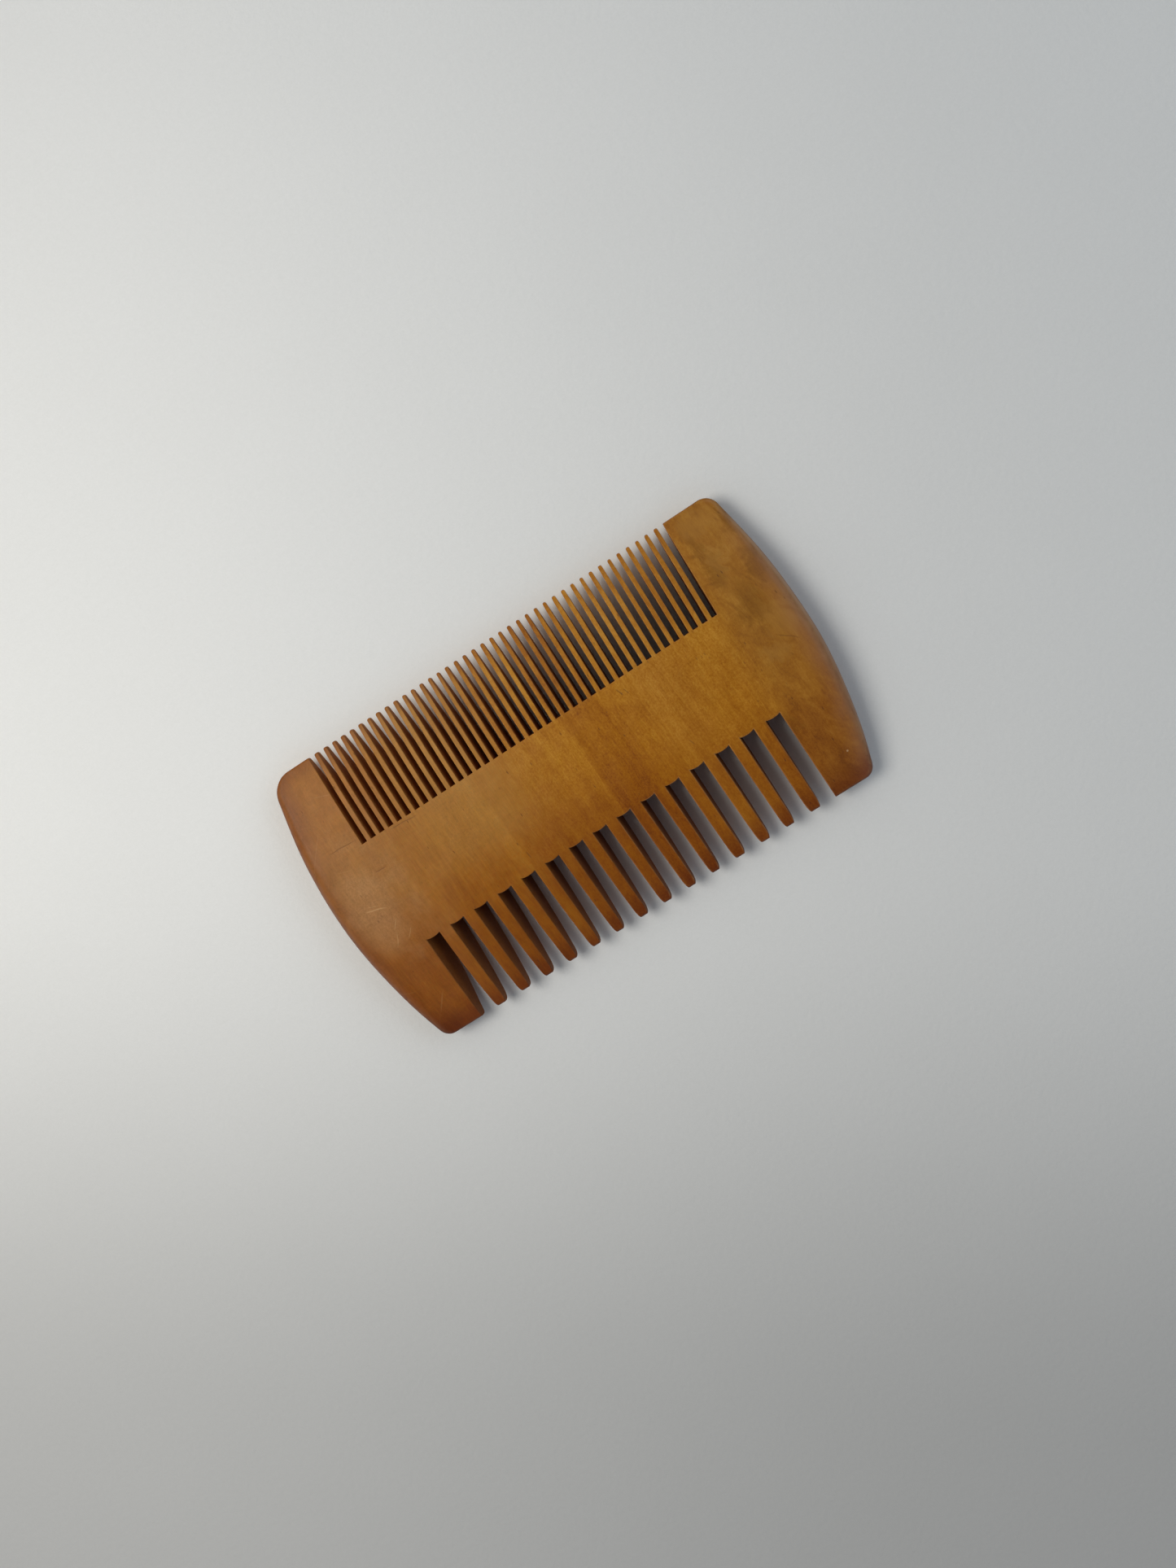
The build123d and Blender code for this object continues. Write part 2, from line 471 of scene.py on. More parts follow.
class Signal:
    """A node's output. Working on it adds nodes; operands may be signals or plain values."""

    def __init__(self, graph, socket):
        self.graph = graph
        self.socket = socket

    def math(self, operation, *others):
        return self.graph.math(operation, self, *others)

    def __add__(self, other):
        return self.math("ADD", other)

    def __sub__(self, other):
        return self.math("SUBTRACT", other)

    def __rsub__(self, other):
        return self.graph.math("SUBTRACT", other, self)

    def __mul__(self, other):
        return self.math("MULTIPLY", other)

    def __abs__(self):
        return self.math("ABSOLUTE")

    def max(self, other):
        return self.math("MAXIMUM", other)

    def times_plus(self, factor, addend):
        return self.math("MULTIPLY_ADD", factor, addend)

    def plus(self, other, amount):
        """self + other * amount"""
        return other.times_plus(amount, self)

    def vary(self, noise, amount):
        """Moves self by a noise centred on 0.5."""
        return self.plus(noise - 0.5, amount)

    def fade(self, start, end, at_start=0.0, at_end=1.0):
        """Smooth step from at_start, where self is start, to at_end, where it is end."""
        if start > end:
            start, end, at_start, at_end = end, start, at_end, at_start
        return self.graph.signal("ShaderNodeMapRange", {
            "Value": self, "From Min": start, "From Max": end, "To Min": at_start,
            "To Max": at_end}, interpolation_type="SMOOTHSTEP", clamp=True)

    def band(self, rise, top, top_end, fall):
        """0 up to rise, 1 from top to top_end, 0 again from fall on."""
        return self.fade(rise, top) * self.fade(fall, top_end)

    def split(self):
        node = self.graph.add("ShaderNodeSeparateXYZ", {0: self})
        return [Signal(self.graph, socket) for socket in node.outputs]

    def stretched(self, x, y, z, offset=(0, 0, 0)):
        return self.graph.signal("ShaderNodeMapping", {
            "Vector": self, "Scale": (x, y, z), "Location": offset})

    def noise(self, scale=1.0, detail=2.0, roughness=0.5, distortion=0.0):
        return self.graph.signal("ShaderNodeTexNoise", {
            "Vector": self, "Scale": scale, "Detail": detail, "Roughness": roughness,
            "Distortion": distortion}, noise_dimensions="3D")

    def cells(self):
        """Distance to the nearest cell point."""
        return self.graph.signal("ShaderNodeTexVoronoi", {
            "Vector": self, "Scale": 1.0, "Randomness": 1.0}, output="Distance", feature="F1")

    def ramp(self, stops):
        """stops are (position, colour or grey)."""
        node = self.graph.add("ShaderNodeValToRGB", {0: self})
        elements = node.color_ramp.elements
        while len(elements) < len(stops):
            elements.new(0.5)
        for element, (position, color) in zip(elements, stops):
            element.position = position
            element.color = color if isinstance(color, tuple) else (color, color, color, 1)
        return Signal(self.graph, node.outputs[0])

    def paint(self, mask, color):
        """Covers this colour by another where the mask is 1."""
        return self.graph.mix(mask, self, color)

    def stain(self, mask, factors):
        """Multiplies this colour by red, green and blue factors where the mask is 1."""
        if not isinstance(factors, Signal):
            factors = (*factors, 1)
        return self.graph.mix(mask, self, factors, "MULTIPLY")


class Graph:
    """The emptied node tree of a material or world."""

    def __init__(self, owner):
        owner.use_nodes = True
        self.tree = owner.node_tree
        self.tree.nodes.clear()

    def add(self, kind, inputs=None, **settings):
        node = self.tree.nodes.new(kind)
        for name, value in settings.items():
            setattr(node, name, value)
        for key, value in (inputs or {}).items():
            if isinstance(value, Signal):
                self.tree.links.new(value.socket, node.inputs[key])
            else:
                node.inputs[key].default_value = value
        return node

    def signal(self, kind, inputs=None, output=0, **settings):
        return Signal(self, self.add(kind, inputs, **settings).outputs[output])

    def math(self, operation, *operands):
        return self.signal("ShaderNodeMath", dict(enumerate(operands)), operation=operation)

    def combine(self, x, y, z):
        return self.signal("ShaderNodeCombineXYZ", {0: x, 1: y, 2: z})

    def object_mm(self):
        """Object coordinates in millimetres."""
        return self.signal("ShaderNodeTexCoord", output="Object").stretched(1000, 1000, 1000)

    def mix(self, mask, first, second, mode="MIX"):
        return self.signal("ShaderNodeMix", {0: mask, 6: first, 7: second}, output=2,
                           data_type="RGBA", blend_type=mode, clamp_factor=True)

    def mix_shader(self, mask, first, second):
        return self.signal("ShaderNodeMixShader", {0: mask, 1: first, 2: second})

    def camera_ray(self):
        return self.signal("ShaderNodeLightPath", output="Is Camera Ray")

    def bump(self, height, strength, distance, **more):
        return self.signal("ShaderNodeBump", {
            "Strength": strength, "Distance": distance, "Height": height, **more})


def strongest(signals):
    return functools.reduce(Signal.max, signals)


# ------------------------------------------------------------------ wood (all places in mm)
BOW_REACH = 50.0                             # |X| of the bowed ends at Y = 0
FIGURE_SPAN = 104.0                          # length covered by the ring table
RING_TONES = [  # (place along the figure, tone from 0 light to 1 dark)
    (-52, 0.50), (-41.2, 0.58), (-40.8, 0.48), (-31.8, 0.50), (-31.4, 0.62), (-22.6, 0.42),
    (-22.3, 0.47), (-15.2, 0.10), (-14.7, 0.06), (-14.3, 0.36), (-7.0, 0.42), (-1.4, 0.50),
    (-0.5, 0.24), (-0.1, 0.36), (2.6, 0.40), (4.6, 0.24), (4.95, 0.74), (8.0, 0.78),
    (11.4, 0.86), (12.8, 0.56), (16.0, 0.38), (20.3, 0.20), (20.7, 0.30), (26.4, 0.38),
    (26.8, 0.46), (33.0, 0.50), (37.6, 0.56), (38.0, 0.68), (45.0, 0.60), (52, 0.55),
]
TONE_LO, TONE_HI = -0.3, 1.3                 # the range kept of the summed tone
TONE_SPAN = 1.6
TONE_COLORS = [  # (tone over its range, colour)
    (0.00, srgb(196, 141, 58)), (0.25, srgb(184, 125, 39)), (0.50, srgb(169, 108, 24)),
    (0.75, srgb(154, 92, 10)), (1.00, srgb(131, 72, 5)),
]
# blots on the right guard: centre x, y, radius in x, in y
PALE_BLOTS = [(42.6, 24.6, 3.4, 2.6), (45.6, 3.4, 2.6, 3.6), (41.4, 17.6, 1.3, 3.4),
              (42.0, -1.6, 3.4, 1.8)]
DARK_BLOTS = [(39.5, 21.5, 1.3, 3.4), (46.4, 22.6, 1.6, 3.4), (42.6, 8.5, 2.6, 4.2),
              (46.6, 14.5, 1.8, 4.0), (40.2, 16.0, 1.8, 3.0), (36.4, -13.5, 2.0, 3.0)]
# scratches: start x, y, end x, y, half width, soft margin; the pale ones also have a strength
PALE_SCRATCHES = [
    (-44.2, -0.4, -40.2, -1.7, 0.04, 0.13, 1.0), (-43.3, 0.1, -41.2, -0.75, 0.03, 0.08, 0.55),
    (-41.4, -5.9, -39.9, -4.1, 0.02, 0.14, 0.55), (-42.6, -8.8, -41.2, -6.4, 0.02, 0.16, 0.55),
    (-40.2, -8.6, -38.4, -6.9, 0.02, 0.09, 0.55),
]
DARK_SCRATCHES = [
    (-44.1, 11.7, -37.6, 11.35, 0.04, 0.09), (-31.9, 9.65, -25.8, 9.2, 0.04, 0.10),
    (-38.4, 4.65, -36.0, 4.5, 0.05, 0.12), (43.2, 1.9, 46.6, -0.9, 0.03, 0.10),
    (15.2, 8.9, 15.9, 7.3, 0.05, 0.12), (16.4, 8.2, 16.9, 6.9, 0.04, 0.10),
    (21.2, -5.4, 21.7, -6.7, 0.03, 0.10), (-13.6, -6.6, -13.3, -8.2, 0.05, 0.12),
]
NICKS = [(43.2, -22.0), (36.7, -22.8)]       # x, y
NICK_RADIUS = 0.12
NICK_SOFT = 0.12


class Wood:
    """Fields shared by the layers of the finish, and the layers in the order they are laid."""

    def __init__(self, graph):
        self.graph = graph
        self.point = point = graph.object_mm()
        self.x, self.y, self.z = x, y, z = point.split()
        normal = graph.signal("ShaderNodeNewGeometry", output="Normal")
        normal = graph.signal("ShaderNodeVectorTransform", {0: normal}, vector_type="NORMAL",
                              convert_from="WORLD", convert_to="OBJECT")
        _, self.normal_y, self.normal_z = normal.split()

        # distances in from the bowed ends and from the line of the tips
        bow_curve = y.fade(-1, 1, at_start=-0.0058, at_end=-0.0043)
        self.bow_depth = (y * y).times_plus(bow_curve, BOW_REACH) - abs(x)
        self.tip_depth = HALF_W - abs(y)
        wobble = point.noise(scale=0.11)
        self.rim = (self.bow_depth - 1.5).plus(wobble, 3.0).fade(6.2, 0.4)
        wall = abs(self.normal_z).fade(0.75, 0.25)
        self.in_slot = wall * self.bow_depth.fade(2.2, 3.4)
        self.on_left = x.fade(10, -10)
        self.right_guard = x.fade(33, 41)
        self.left_guard = x.fade(-24, -40)

        # fibres, nearly along Y
        self.bend = point.stretched(1.0, 0.45, 1.0).noise(scale=0.16)
        self.fibre_point = graph.combine(x.vary(self.bend, 1.2).plus(y, 0.06), y, z)
        self.fibre = self.fibre_point.stretched(2.6, 0.16, 2.0).noise(detail=3, roughness=0.6)
        self.fine_fibre = self.fibre_point.stretched(8.0, 0.55, 6.0).noise(roughness=0.55)
        # mottle from broad to fine, and the slanting figure of interlocked grain
        self.mottle = point.noise(scale=0.13, detail=3, roughness=0.55, distortion=0.4)
        self.small = point.stretched(1.0, 0.7, 1.0).noise(
            scale=0.75, detail=4, roughness=0.66, distortion=0.4)
        self.grit = point.stretched(1.0, 0.8, 1.0).noise(scale=2.9, roughness=0.75)
        slanted = graph.combine(x.plus(y, 0.42), y.plus(x, -0.30), z)
        self.interlock = slanted.stretched(0.24, 0.105, 0.2).noise(
            detail=4, roughness=0.62, distortion=1.6)

    def growth_rings(self):
        """Rings crossing the width, leaning a little, and bending through the thickness."""
        place = self.x.plus(self.y, 0.10).plus(self.z - 6.0, 0.35)
        place = place.vary(self.point.noise(scale=0.028), 5.0).vary(self.bend, 1.5)
        ragged = self.point.stretched(0.9, 0.22, 0.6).noise(roughness=0.6)
        place = place.vary(ragged, 0.8).times_plus(1 / FIGURE_SPAN, 0.5)
        return place.ramp([((at + FIGURE_SPAN / 2) / FIGURE_SPAN, tone)
                           for at, tone in RING_TONES])

    def figure(self):
        """The bare wood colour, from a tone that is 0 light and 1 dark."""
        # narrow bands inside each ring
        bands = self.point.stretched(0.62, 0.035, 0.3).noise(detail=3, roughness=0.55)
        broad_fibre = self.fibre_point.stretched(0.95, 0.07, 0.8).noise(roughness=0.55)
        tone = self.growth_rings().plus(bands.times_plus(1.0, -0.5), 0.34)
        for noise, amount in ((broad_fibre, 0.55), (self.fibre, 0.70), (self.fine_fibre, 0.60),
                              (self.mottle, 0.70), (self.small, 0.85)):
            tone = tone.vary(noise, amount)
        tone = tone + (self.interlock - 0.49) * 1.9 * self.right_guard.times_plus(1.0, 0.30)
        tone = tone.vary(self.grit, self.left_guard.times_plus(0.6, 1.75))
        tone = tone.math("MINIMUM", TONE_HI).max(TONE_LO)
        return tone.times_plus(1 / TONE_SPAN, 0.3 / TONE_SPAN).ramp(TONE_COLORS)

    def field_stain(self, base):
        """Uneven stain over the middle of the comb, with painted shade towards the coarse side."""
        x, y, mottle = self.x, self.y, self.mottle
        # redder and deeper towards the coarse side, most of all in the middle: partly the wood's
        # colour, partly painted shade where the crown falls away from the light
        shade_and_warmth = (y - 5.0).plus(mottle, 10.0).fade(14, -22)
        middle = x.band(-46, -36, 30, 44)
        base = base.stain(shade_and_warmth * 0.90, (0.84, 0.73, 0.58))
        base = base.stain(shade_and_warmth * middle * 0.90, (0.96, 0.91, 0.42))
        base = base.stain(x.band(-8, 4, 12, 22), (1.05, 1.05, 0.70))
        # paler and duller left of the middle, on the fine side
        dull = x.band(-34, -22, -14, -4) * y.fade(-7, 1)
        base = base.paint(dull * 0.55, srgb(164, 114, 52))
        # deeper on the coarse side from the left field to the middle, paler in the right field
        deep = x.band(-33, -23, 3, 10) * y.plus(mottle, 6.0).fade(6, -4)
        base = base.stain(deep, (0.88, 0.82, 0.72))
        low = x.band(-32, -4, 14, 26) * y.fade(-2, -8)
        base = base.stain(low, (0.92, 0.88, 0.66))
        fair = x.band(22, 30, 36, 44) * abs(y).fade(15, 8)
        return base.stain(fair, (1.10, 1.17, 1.22))

    def blots(self, table, sway, clouded=False):
        """Ragged elliptical blots."""
        masks = []
        for center_x, center_y, radius_x, radius_y in table:
            across = (self.x - center_x).vary(self.interlock, sway)
            along = self.y - center_y
            if clouded:
                along = along.vary(self.mottle, 6.0)
            along = along.vary(self.small, 6.0)
            reach = across * across * (1 / radius_x ** 2) + along * along * (1 / radius_y ** 2)
            masks.append(reach.fade(1.7, 0))
        return strongest(masks)

    def guard_stain(self, base):
        x, y, mottle = self.x, self.y, self.mottle
        # browner and hazier on the left guard: partly the wood's colour, partly a painted sheen
        brown_and_sheen = self.left_guard * (mottle - 0.5).times_plus(0.8, 0.66)
        brown_and_sheen = brown_and_sheen * y.plus(mottle, 8.0).fade(-14, 4, at_start=0.50)
        base = base.paint(brown_and_sheen, srgb(154, 104, 56))
        base = base.stain(self.left_guard * y.fade(6, 18), (0.98, 0.87, 0.46))
        base = base.stain(self.left_guard * y.fade(0, -9), (0.89, 0.78, 0.60))
        # greener on the right one
        green = self.right_guard * y.fade(-14, 8, at_start=0.25, at_end=0.46)
        base = base.paint(green, srgb(148, 104, 46))
        pale = self.blots(PALE_BLOTS, sway=10.0, clouded=True)
        base = base.paint(pale * 0.36, srgb(172, 124, 56))
        # a grey-pink painted reflection along the right rim, fading towards the fine corner
        painted_rim_sheen = self.bow_depth.plus(mottle, 3.0).fade(7, 1) * (y.fade(26, 12) * x.fade(30, 42))
        base = base.paint(painted_rim_sheen * 0.70, srgb(150, 108, 82))
        return base.stain(self.blots(DARK_BLOTS, sway=9.0) * 0.75, (0.72, 0.70, 0.66))

    def pores(self, base):
        """Short dark dashes lying in the fibre. Also leaves their mask in self.dark."""
        pick = self.point.stretched(0.5, 0.3, 0.5, offset=(7, 3, 1)).noise(roughness=0.6)
        pore = self.fibre_point.stretched(5.5, 0.85, 4.0).cells().fade(0.22, 0.08)
        pore = pore * pick.fade(0.50, 0.66)
        fleck = self.fibre_point.stretched(1.1, 0.34, 1.0, offset=(0.37, 0.11, 0.5)).cells()
        fleck = fleck.fade(0.15, 0.07) * self.point.noise(scale=0.35, detail=1).fade(0.50, 0.62)
        self.dark = (pore * 0.40).max(fleck * 0.62)
        return base.paint(self.dark, srgb(92, 50, 18))

    def rims(self, base):
        """Rims and tooth ends, darkened by stain and handling, a painted highlight on the right rim,
        and the sawn slot flanks, darkened by stain and painted shade.
        """
        x, y, bow_depth, tip_depth = self.x, self.y, self.bow_depth, self.tip_depth
        base = base.stain(self.rim * self.on_left.times_plus(0.90, 0.10), (0.66, 0.52, 0.46))
        rim_edge = bow_depth.fade(1.7, 0)
        base = base.paint(rim_edge * self.on_left.times_plus(0.46, 0.14), srgb(92, 52, 34))
        # on the right a thin pale line is painted along the turn of the rim: a painted highlight
        line = bow_depth.band(0.20, 0.42, 0.6, 1.0) * (x.fade(30, 40) * y.fade(-6, 6, at_start=0.35))
        base = base.paint(line * tip_depth.fade(3, 7) * 0.45, srgb(190, 156, 120))
        # ends of the teeth and the guards' short edges
        coarse_tips = tip_depth.plus(self.small, 2.0).fade(8, 1.4) * y.fade(2, -2)
        fine_tips = tip_depth.plus(self.small, 0.8).fade(4, 0.4) * y.fade(-2, 2)
        fine_tips = fine_tips * x.fade(18, -4, at_start=0.12)
        base = base.stain(coarse_tips, (0.62, 0.46, 0.50))
        coarse_teeth = y.fade(-8, -14) * bow_depth.fade(1.5, 5.0)
        base = base.stain(coarse_teeth, (0.90, 0.84, 0.84))
        base = base.stain(fine_tips * 0.80, (0.72, 0.60, 0.62))
        end_grain = abs(self.normal_y).fade(0.55, 0.95) * tip_depth.fade(1.0, 0.3)
        base = base.paint(end_grain * 0.65, srgb(96, 52, 28))
        # the sawn flanks of the slots are darker, partly from more stain and partly painted shade
        # down in the slots, the coarse ones most
        saw = self.point.stretched(1.0, 2.2, 7.0).noise(roughness=0.6)
        flank = self.graph.mix(saw, srgb(150, 88, 32), srgb(122, 68, 24))
        flank_shade_coarse_to_fine = ((0.76, 1.35), (0.72, 1.45), (0.66, 1.7))   # red, green, blue factors
        flank = flank.stain(1.0, self.graph.combine(*[y.fade(-8, 8, *f) for f in flank_shade_coarse_to_fine]))
        return base.paint(self.in_slot * 0.72, flank)

    def rubbed(self, base):
        """Haze with a painted sheen, a painted glare on the left guard, and felting, strongest on
        the left. Also leaves the haze mask in self.haze.
        """
        x, y, point = self.x, self.y, self.point
        # a cloudy haze over the left guard, paler and pinker: partly a hazier rubbed finish, partly
        # a painted sheen
        cloud = point.stretched(0.21, 0.17, 0.2).noise(detail=5, roughness=0.62, distortion=0.2)
        haze_and_sheen = x.band(-47.5, -43, -41, -24) * cloud.fade(0.42, 0.72)
        self.haze_and_sheen = haze_and_sheen * abs(y - 2.0).fade(22, 6)
        base = base.paint(self.haze_and_sheen * 0.22, srgb(190, 146, 98))
        # a painted highlight: the glare of the window, a paler oval on the left guard round x =
        # -42.8, y = -1.5
        across = (x + 42.8) * (1 / 5.4)
        along = (y + 1.5) * (1 / 9.5)
        painted_glare = (across * across + along * along).vary(self.mottle, 1.4).fade(1.15, 0)
        base = base.paint(painted_glare * 0.32, srgb(184, 138, 92))
        cross_weave = point.stretched(0.45, 2.6, 1.0).noise(roughness=0.6)
        long_weave = point.stretched(2.6, 0.45, 1.0).noise(roughness=0.6)
        felt = ((long_weave - 0.5) * 0.34).vary(cross_weave, 0.22)
        felt = felt.vary(self.grit, 0.90).vary(self.small, 0.34)
        felt = felt.times_plus(x.fade(2, -22, at_start=0.25), 1.0)
        return base.stain(1.0, self.graph.combine(felt, felt, felt))

    def scratch(self, x0, y0, x1, y1, width, soft):
        """1 on a scratch between two points, fading to 0 beside it and at its ends."""
        x, y = self.x, self.y
        length = math.hypot(x1 - x0, y1 - y0)
        ux, uy = (x1 - x0) / length, (y1 - y0) / length
        along = (x - x0) * ux + (y - y0) * uy
        across = (x - x0) * -uy + (y - y0) * ux
        # never dead straight
        across = across + (along * 1.7).math("SINE") * 0.05
        beside = abs(across).fade(width, width + soft, at_start=1.0, at_end=0.0)
        return beside * (along.fade(-0.1, 0.25 * length) * along.fade(length + 0.1, 0.7 * length))

    def hairlines(self, angle, offset):
        """Random hairlines rubbed in one direction."""
        x, y, cos, sin = self.x, self.y, math.cos(angle), math.sin(angle)
        turned = self.graph.combine(x * cos + y * sin, x * -sin + y * cos, self.z)
        return turned.stretched(0.10, 3.2, 0.1, offset=offset).noise(
            detail=1, roughness=0.4, distortion=0.15).fade(0.735, 0.79)

    def scratches(self, base):
        """Scratches and nicks in the upper face. Leaves masks in self.wear, self.ink, self.up."""
        self.up = up = self.normal_z.fade(0.5, 0.8)
        pale = strongest([self.scratch(*row) * strength for *row, strength in PALE_SCRATCHES])
        self.ink = strongest([self.scratch(*row) for row in DARK_SCRATCHES])
        hairs = self.hairlines(0.9, (3, 1, 0)).max(self.hairlines(-0.35, (11, 5, 2)))
        hairs = hairs * self.left_guard.times_plus(0.7, 0.3)
        self.wear = (pale * 0.46).max(hairs * 0.10)
        base = base.paint(self.wear * up, srgb(206, 162, 108))
        base = base.paint(self.ink * up * 0.42, srgb(96, 56, 26))
        for nick_x, nick_y in NICKS:
            square = (self.x - nick_x).math("POWER", 2.0) + (self.y - nick_y).math("POWER", 2.0)
            nick = square.math("SQRT").fade(NICK_RADIUS + NICK_SOFT, NICK_RADIUS)
            base = base.paint(nick * (up * 0.5), srgb(214, 184, 140))
        return base

    def edges(self, base):
        """Where the faces turn over, the colour is paler, more so on the right: partly the finish
        rubbed a little thinner, partly a painted highlight.
        """
        arris = self.graph.signal("ShaderNodeAttribute", output="Fac", attribute_name="arris")
        edge = arris * self.small.fade(0.30, 0.62) * self.tip_depth.fade(0.2, 1.2)
        return base.paint(edge * self.on_left.times_plus(-0.30, 0.42), srgb(184, 134, 84))

    def roughness(self):
        rough = (self.fibre - 0.5).times_plus(0.16, 0.46).vary(self.mottle, 0.14)
        rough = rough.plus(self.in_slot, 0.22).plus(self.haze_and_sheen, 0.07)
        return rough.plus(self.rim, -0.05).plus(self.dark, 0.2)

    def relief(self):
        """Fibres, pores, scratches and saw marks over a gentle unevenness."""
        saw = self.point.stretched(0.5, 1.4, 9.0).noise(roughness=0.6) * self.in_slot
        height = (self.fine_fibre * 0.5).plus(self.fibre, 0.5).plus(self.dark, -1.2)
        height = height.plus(self.wear * self.up, -0.6).plus(self.ink * self.up, -1.0)
        detail = self.graph.bump(height.plus(saw, 1.6), strength=0.35, distance=0.00006)
        uneven = self.point.noise(scale=0.22)
        return self.graph.bump(uneven, strength=0.30, distance=0.0006, Normal=detail)


def wood_material():
    mat = bpy.data.materials.new("stained hardwood")
    graph = Graph(mat)
    wood = Wood(graph)
    base = wood.figure()
    for layer in (wood.field_stain, wood.guard_stain, wood.pores, wood.rims, wood.rubbed,
                  wood.scratches, wood.edges):
        base = layer(base)
    bsdf = graph.signal("ShaderNodeBsdfPrincipled", {
        "Base Color": base, "Roughness": wood.roughness(), "Specular IOR Level": 0.20,
        "Coat Weight": 0.04, "Coat Roughness": 0.34, "Sheen Weight": 0.02,
        "Sheen Roughness": 0.4, "Normal": wood.relief()})
    graph.add("ShaderNodeOutputMaterial", {0: bsdf})
    return mat


comb.data.materials.append(wood_material())
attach(comb, "root")
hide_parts("comb_body")

# ------------------------------------------------------------------ viewing axes
RIGHT = Vector((0.83784, -0.54402, -0.04537)).normalized()
BACK = Vector((0.11195, 0.08988, 0.98964)).normalized()
UP = BACK.cross(RIGHT)
# the camera's left and up, laid on the floor
FLOOR_LEFT = -Vector((RIGHT.x, RIGHT.y, 0)).normalized()
FLOOR_UP = Vector((UP.x, UP.y, 0)).normalized()

# ------------------------------------------------------------------ floor: a sheet of pale paper
BACKDROP = (0.60, 0.61, 0.61, 1)
FLOOR_HALF = 4.0                             # metres
FLOOR_CELLS = 24
FLOOR_CROWDING = 2.2                         # power that draws the squares in to the middle


def paper_material():
    mat = bpy.data.materials.new("paper")
    graph = Graph(mat)
    point = graph.object_mm()
    tooth = point.noise(scale=0.9, detail=4, roughness=0.6)
    cloud = point.noise(scale=0.05, detail=3)
    grain = point.noise(scale=2.6, roughness=0.7)
    tone = (tooth - 0.5).times_plus(0.60, 0.5).vary(cloud, 0.35).vary(grain, 1.0)
    base = graph.mix(tone, (0.795, 0.795, 0.776, 1), (0.855, 0.855, 0.840, 1))
    # painted shade and light on the paper: greyer down the view, a little paler again far off, and
    # brighter to the left
    x, y, _ = point.split()
    upward = x * FLOOR_UP.x + y * FLOOR_UP.y
    leftward = x * FLOOR_LEFT.x + y * FLOOR_LEFT.y
    painted_light_and_shade = upward.fade(-5, -130, at_start=1.0, at_end=0.68)
    painted_light_and_shade = painted_light_and_shade.max(upward.fade(-200, -500, at_start=0.68, at_end=0.90))
    painted_light_and_shade = painted_light_and_shade * leftward.fade(-80, 80, at_start=0.96, at_end=1.07)
    base = base.stain(1.0, graph.combine(painted_light_and_shade, painted_light_and_shade, painted_light_and_shade))
    bsdf = graph.signal("ShaderNodeBsdfPrincipled", {
        "Base Color": base, "Roughness": 0.78, "Specular IOR Level": 0.25,
        "Normal": graph.bump(tooth, strength=0.22, distance=0.0003)})
    # well away from the comb the sheet runs out into the pale backdrop, with no horizon
    away = (x * x + y * y).math("SQRT").fade(210, 620) * graph.camera_ray()
    backdrop = graph.signal("ShaderNodeEmission", {0: BACKDROP})
    graph.add("ShaderNodeOutputMaterial", {0: graph.mix_shader(away, bsdf, backdrop)})
    return mat


def build_floor():
    """A sheet with finer squares near the comb."""
    line = np.linspace(-1, 1, FLOOR_CELLS + 1)
    line = np.sign(line) * np.abs(line) ** FLOOR_CROWDING * FLOOR_HALF
    verts = [(float(x), float(y), 0.0) for y in line for x in line]
    row = FLOOR_CELLS + 1
    corners = [j * row + i for j in range(FLOOR_CELLS) for i in range(FLOOR_CELLS)]
    mesh = bpy.data.meshes.new("floor")
    mesh.from_pydata(verts, [], [(c, c + 1, c + row + 1, c + row) for c in corners])
    mesh.update()
    ob = bpy.data.objects.new("floor", mesh)
    bpy.context.scene.collection.objects.link(ob)
    return ob


floor = build_floor()
floor.data.materials.append(paper_material())

# ------------------------------------------------------------------ camera
CAMERA_PLACE = Vector((0.02527, 0.01605, 0.21041))

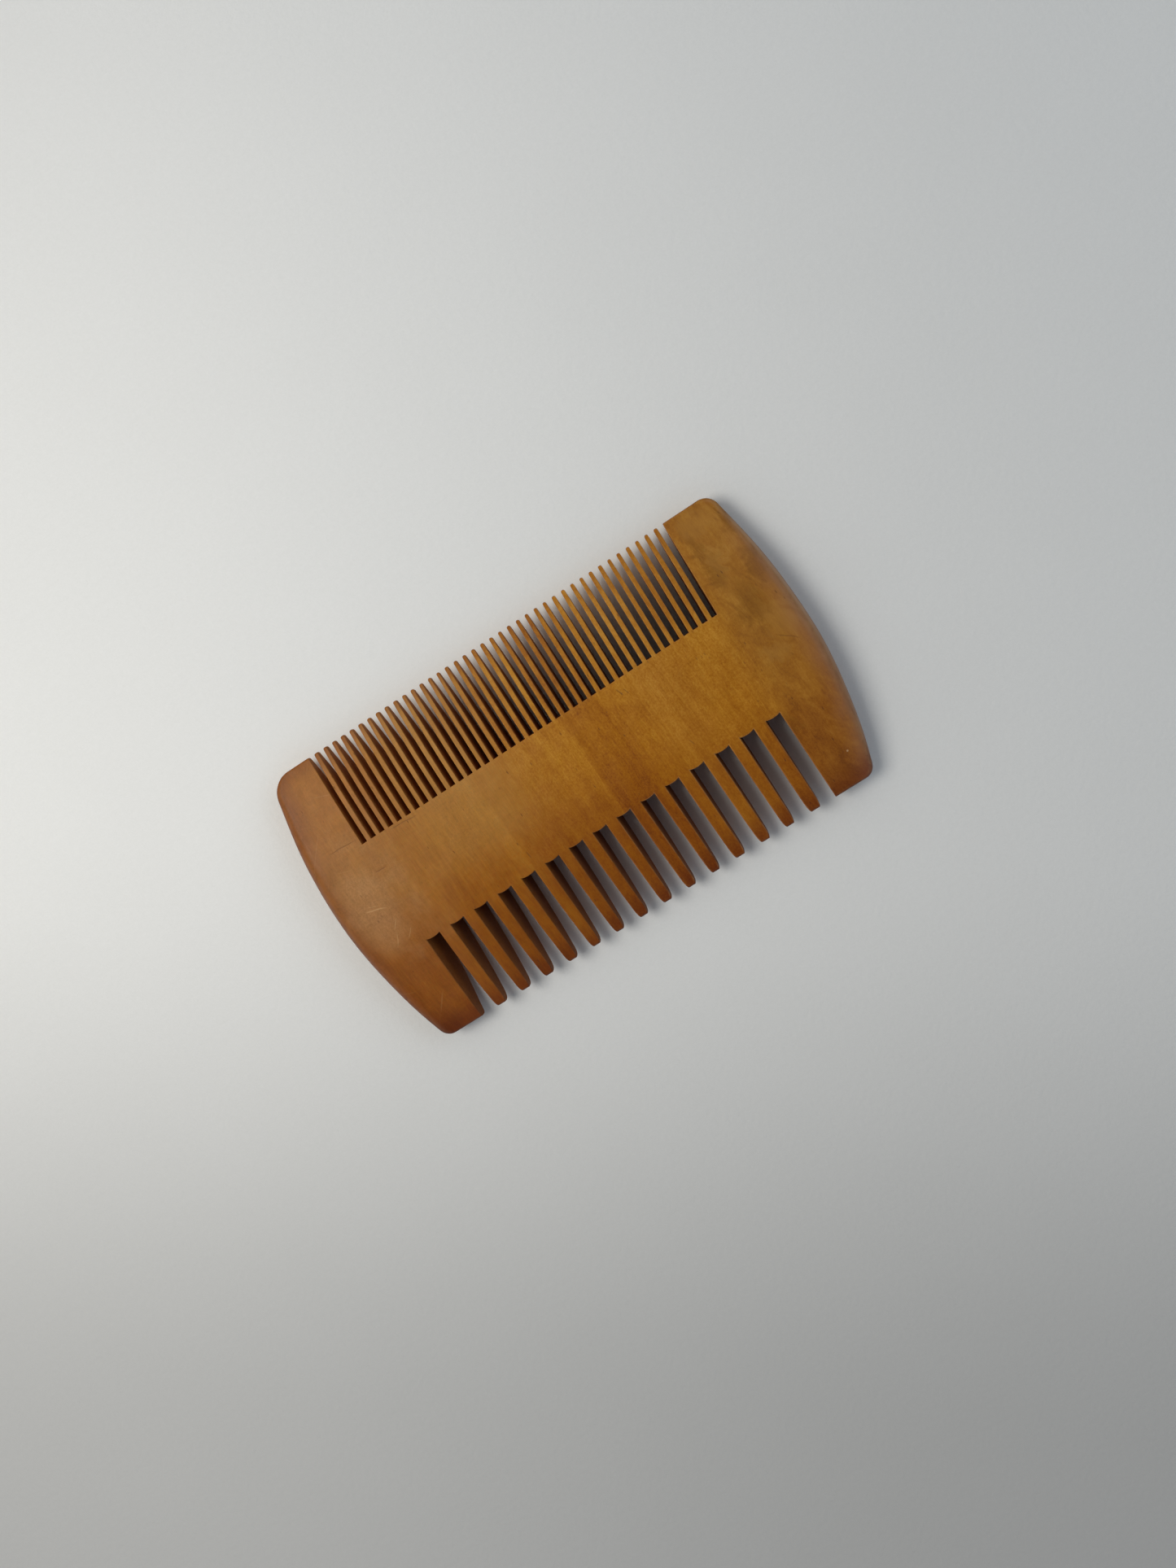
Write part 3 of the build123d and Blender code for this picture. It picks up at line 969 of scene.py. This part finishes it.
cam_data = bpy.data.cameras.new("camera")
cam = bpy.data.objects.new("camera", cam_data)
bpy.context.scene.collection.objects.link(cam)
cam_data.sensor_fit = "AUTO"
cam_data.sensor_width = 36.0
cam_data.lens = 27.05
cam_data.clip_start = 0.01
cam_data.clip_end = 20
cam.matrix_world = Matrix([(*row, 0 if i < 3 else 1) for i, row in enumerate(
    (RIGHT, UP, BACK, CAMERA_PLACE))]).transposed()
bpy.context.scene.camera = cam


# ------------------------------------------------------------------ light
def area(name, place, size, power, color):
    """A rectangular light aimed at the middle of the comb."""
    light = bpy.data.lights.new(name, "AREA")
    light.shape = "RECTANGLE"
    light.size, light.size_y = size
    light.energy = power
    light.color = color
    ob = bpy.data.objects.new(name, light)
    bpy.context.scene.collection.objects.link(ob)
    ob.location = place
    ob.rotation_mode = "QUATERNION"
    ob.rotation_quaternion = (-place).to_track_quat("-Z", "Y")


LIGHT_HEIGHT = Vector((0, 0, 0.30))
area("window", place=FLOOR_LEFT * 0.21 + LIGHT_HEIGHT,
     size=(0.19, 0.19), power=0.68, color=(1.0, 0.970, 0.905))
area("sky fill", place=FLOOR_LEFT * -0.30 + FLOOR_UP * 0.26 + LIGHT_HEIGHT,
     size=(0.45, 0.30), power=0.34, color=(0.68, 0.84, 1.0))


def build_world():
    """A room dark overhead, paler towards its walls, palest on the window side."""
    world = bpy.data.worlds.new("room")
    bpy.context.scene.world = world
    graph = Graph(world)
    direction = graph.signal("ShaderNodeTexCoord", output="Generated")
    window = (FLOOR_LEFT * 0.95 + FLOOR_UP * 0.30).normalized()
    side = graph.signal("ShaderNodeVectorMath", {0: direction, 1: window}, output="Value",
                        operation="DOT_PRODUCT")
    height = abs(direction.split()[2])
    walls = height.ramp([(0.0, 0.56), (0.58, 0.56), (0.76, 0.28), (0.88, 0.02), (1.0, 0.010)])
    # change towards the window and middle value, for red, green and blue
    slopes = ((0.42, 0.88), (0.35, 0.90), (0.22, 0.93))
    room = walls.stain(1.0, graph.combine(*[side.times_plus(*slope) for slope in slopes]))
    lighting = graph.signal("ShaderNodeBackground", {0: room})
    beyond = graph.signal("ShaderNodeBackground", {0: BACKDROP})   # seen past the sheet
    shader = graph.mix_shader(graph.camera_ray(), lighting, beyond)
    graph.add("ShaderNodeOutputWorld", {0: shader})


build_world()
bpy.context.scene.view_settings.view_transform = "Standard"
bpy.context.scene.view_settings.look = "None"
